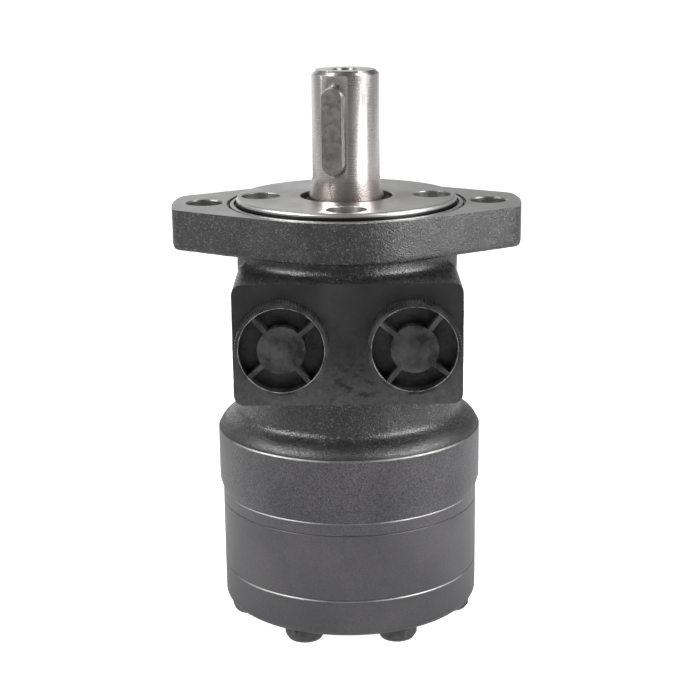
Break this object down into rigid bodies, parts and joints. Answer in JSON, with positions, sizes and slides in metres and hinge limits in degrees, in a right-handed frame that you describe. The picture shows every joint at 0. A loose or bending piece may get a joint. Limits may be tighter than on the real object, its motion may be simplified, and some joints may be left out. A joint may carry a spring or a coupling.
{
  "type": "orbital hydraulic motor",
  "caption": "Compact spool-valve orbital hydraulic motor with a two-bolt flange, a keyed parallel shaft and two side ports closed by transit plugs.",
  "frame": {"origin": "on the shaft axis, in the mounting face of the flange, midway between its two mounting holes", "axes": "+Z out along the shaft, +X through one mounting hole, -Y out of the two ports"},
  "size_m": [0.1308, 0.1064, 0.209],
  "materials": {
    "bolt_dark": "black oxide",
    "cage_brass": "stamped",
    "cast_black": "rough as-cast skin, painted",
    "copper": "annealed copper",
    "gear_steel": "hardened and ground",
    "ground_steel": "ground",
    "key_steel": "drawn",
    "machined": "turned, satin",
    "plastic_black": "moulded",
    "plate_grey": "satin grey paint",
    "plug_steel": "zinc plated",
    "race_steel": "polished",
    "rubber_black": "matte",
    "screw_black": "black oxide",
    "seal_brown": "matte"
  },
  "bodies": {
    "motor_body": {"housing": "cast_black", "front_cover": "machined", "cover_screws": "screw_black", "cover_oring": "rubber_black", "dust_seal": "rubber_black", "shaft_seal": "seal_brown", "backup_washer": "race_steel", "thrust_race_outer": "race_steel", "stator_ring": "plate_grey", "spacer_plate": "plate_grey", "end_cover": "plate_grey", "end_cover_bolts": "bolt_dark", "bolt_washers": "bolt_dark", "body_oring_front": "rubber_black", "body_oring_mid": "rubber_black", "body_oring_rear": "rubber_black", "check_plug_a": "plug_steel", "check_plug_b": "plug_steel", "drain_plug": "plug_steel", "drain_washer": "copper"},
    "shaft_body": {"output_shaft": "ground_steel", "shaft_key": "key_steel", "thrust_race_inner": "race_steel"},
    "cage_body": {"needle_cage": "cage_brass", "needles": "race_steel"},
    "orbit_body": {"cardan_spacer": "gear_steel"},
    "rotor_body": {"rotor": "gear_steel"},
    "cardan_body": {"cardan_shaft": "gear_steel"},
    "roller_body_1": {"roller_1": "gear_steel"},
    "roller_body_2": {"roller_2": "gear_steel"},
    "roller_body_3": {"roller_3": "gear_steel"},
    "roller_body_4": {"roller_4": "gear_steel"},
    "roller_body_5": {"roller_5": "gear_steel"},
    "roller_body_6": {"roller_6": "gear_steel"},
    "roller_body_7": {"roller_7": "gear_steel"},
    "check_body_a": {"check_ball_a": "race_steel"},
    "plug_body_a": {"port_plug_a": "plastic_black"},
    "check_body_b": {"check_ball_b": "race_steel"},
    "plug_body_b": {"port_plug_b": "plastic_black"}
  },
  "joints": [
    {"name": "shaft_spin", "type": "hinge", "parent": "motor_body", "child": "shaft_body", "pos_m": [0, 0, 0], "axis": [0, 0, 1], "continuous": true},
    {"name": "cage_spin", "type": "hinge", "parent": "motor_body", "child": "cage_body", "pos_m": [0, 0, 0], "axis": [0, 0, 1], "continuous": true},
    {"name": "rotor_orbit", "type": "hinge", "parent": "motor_body", "child": "orbit_body", "pos_m": [0, 0, 0], "axis": [0, 0, 1], "continuous": true},
    {"name": "rotor_spin", "type": "hinge", "parent": "orbit_body", "child": "rotor_body", "pos_m": [0, -0.0032, 0], "axis": [0, 0, 1], "continuous": true},
    {"name": "cardan_spin", "type": "hinge", "parent": "orbit_body", "child": "cardan_body", "pos_m": [0, 0, -0.075], "axis": [0, 0.0607, 0.9982], "continuous": true},
    {"name": "roller_spin_1", "type": "hinge", "parent": "motor_body", "child": "roller_body_1", "pos_m": [0, -0.033, -0.12765], "axis": [0, 0, 1], "continuous": true},
    {"name": "roller_spin_2", "type": "hinge", "parent": "motor_body", "child": "roller_body_2", "pos_m": [0.0258, -0.02057, -0.12765], "axis": [0, 0, 1], "continuous": true},
    {"name": "roller_spin_3", "type": "hinge", "parent": "motor_body", "child": "roller_body_3", "pos_m": [0.03217, 0.00734, -0.12765], "axis": [0, 0, 1], "continuous": true},
    {"name": "roller_spin_4", "type": "hinge", "parent": "motor_body", "child": "roller_body_4", "pos_m": [0.01432, 0.02973, -0.12765], "axis": [0, 0, 1], "continuous": true},
    {"name": "roller_spin_5", "type": "hinge", "parent": "motor_body", "child": "roller_body_5", "pos_m": [-0.01432, 0.02973, -0.12765], "axis": [0, 0, 1], "continuous": true},
    {"name": "roller_spin_6", "type": "hinge", "parent": "motor_body", "child": "roller_body_6", "pos_m": [-0.03217, 0.00734, -0.12765], "axis": [0, 0, 1], "continuous": true},
    {"name": "roller_spin_7", "type": "hinge", "parent": "motor_body", "child": "roller_body_7", "pos_m": [-0.0258, -0.02057, -0.12765], "axis": [0, 0, 1], "continuous": true},
    {"name": "check_lift_a", "type": "slide", "parent": "motor_body", "child": "check_body_a", "axis": [0, 0, 1], "range_m": [0, 0.0016]},
    {"name": "check_lift_b", "type": "slide", "parent": "motor_body", "child": "check_body_b", "axis": [0, 0, 1], "range_m": [0, 0.0016]},
    {"name": "plug_pull_a", "type": "slide", "parent": "motor_body", "child": "plug_body_a", "axis": [0, -1, 0], "range_m": [0, 0.02]},
    {"name": "plug_pull_b", "type": "slide", "parent": "motor_body", "child": "plug_body_b", "axis": [0, -1, 0], "range_m": [0, 0.02]}
  ],
  "couplings": [
    {"joint": "cage_spin", "follows": "shaft_spin", "ratio": 0.5},
    {"joint": "rotor_orbit", "follows": "shaft_spin", "ratio": -6},
    {"joint": "rotor_spin", "follows": "shaft_spin", "ratio": 7},
    {"joint": "cardan_spin", "follows": "shaft_spin", "ratio": 7}
  ]
}
